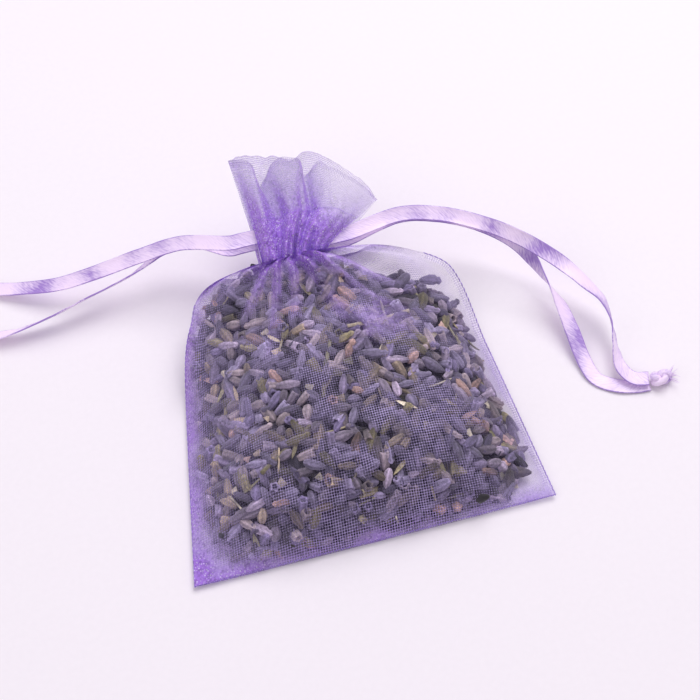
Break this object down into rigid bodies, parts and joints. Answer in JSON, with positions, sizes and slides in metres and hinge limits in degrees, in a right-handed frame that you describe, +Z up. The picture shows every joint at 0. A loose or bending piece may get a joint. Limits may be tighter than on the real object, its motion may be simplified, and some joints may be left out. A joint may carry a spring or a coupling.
{
  "type": "lavender sachet",
  "caption": "Small sheer violet organza drawstring bag filled with dried lavender buds, tied shut with satin ribbon drawstrings that scent a drawer or wardrobe.",
  "frame": {"origin": "on the table under the flat underside, midway between the bottom edge and the casing and midway between the bottom corners", "axes": "+X across the bag to the right, +Y from the bottom seam to the frill, +Z up from the table"},
  "size_m": [0.1471, 0.0815, 0.0263],
  "materials": {
    "organza": "sheer plain weave with a slight sparkle",
    "seam_thread": "matt overlock thread",
    "satin_ribbon": "glossy satin",
    "dried_buds": "matt, dusty, dried flower",
    "dried_stem": "matt, dried stalk"
  },
  "bodies": {
    "bag": {"front_panel": "organza", "rear_panel": "organza", "left_side_seam": "seam_thread", "right_side_seam": "seam_thread", "bottom_seam": "seam_thread", "bud_bed": "dried_buds", "loose_bud_01": "dried_buds", "loose_bud_02": "dried_buds", "loose_bud_03": "dried_buds", "loose_bud_04": "dried_buds", "loose_bud_05": "dried_buds", "loose_bud_06": "dried_buds", "loose_bud_07": "dried_buds", "loose_bud_08": "dried_buds", "loose_bud_09": "dried_buds", "loose_bud_10": "dried_buds", "loose_bud_11": "dried_buds", "loose_bud_12": "dried_buds", "loose_bud_13": "dried_buds", "loose_bud_14": "dried_buds", "loose_bud_15": "dried_buds", "loose_bud_16": "dried_buds", "loose_bud_17": "dried_buds", "loose_bud_18": "dried_buds", "loose_bud_19": "dried_buds", "loose_bud_20": "dried_buds", "loose_bud_21": "dried_buds", "loose_bud_22": "dried_buds", "loose_bud_23": "dried_buds", "loose_bud_24": "dried_buds", "stem_01": "dried_stem", "stem_02": "dried_stem", "stem_03": "dried_stem", "stem_04": "dried_stem", "left_drawstring_wrap": "satin_ribbon", "right_drawstring_wrap": "satin_ribbon"},
    "left_drawstring": {"left_front_strand": "satin_ribbon", "left_rear_strand": "satin_ribbon", "left_knot": "satin_ribbon"},
    "right_drawstring": {"right_front_strand": "satin_ribbon", "right_rear_strand": "satin_ribbon", "right_knot": "satin_ribbon"}
  },
  "joints": [
    {"name": "left_drawstring_pull", "type": "slide", "parent": "bag", "child": "left_drawstring", "axis": [-1, 0, 0], "range_m": [-0.003, 0.004]},
    {"name": "right_drawstring_pull", "type": "slide", "parent": "bag", "child": "right_drawstring", "axis": [1, 0, 0], "range_m": [-0.003, 0.004]}
  ]
}
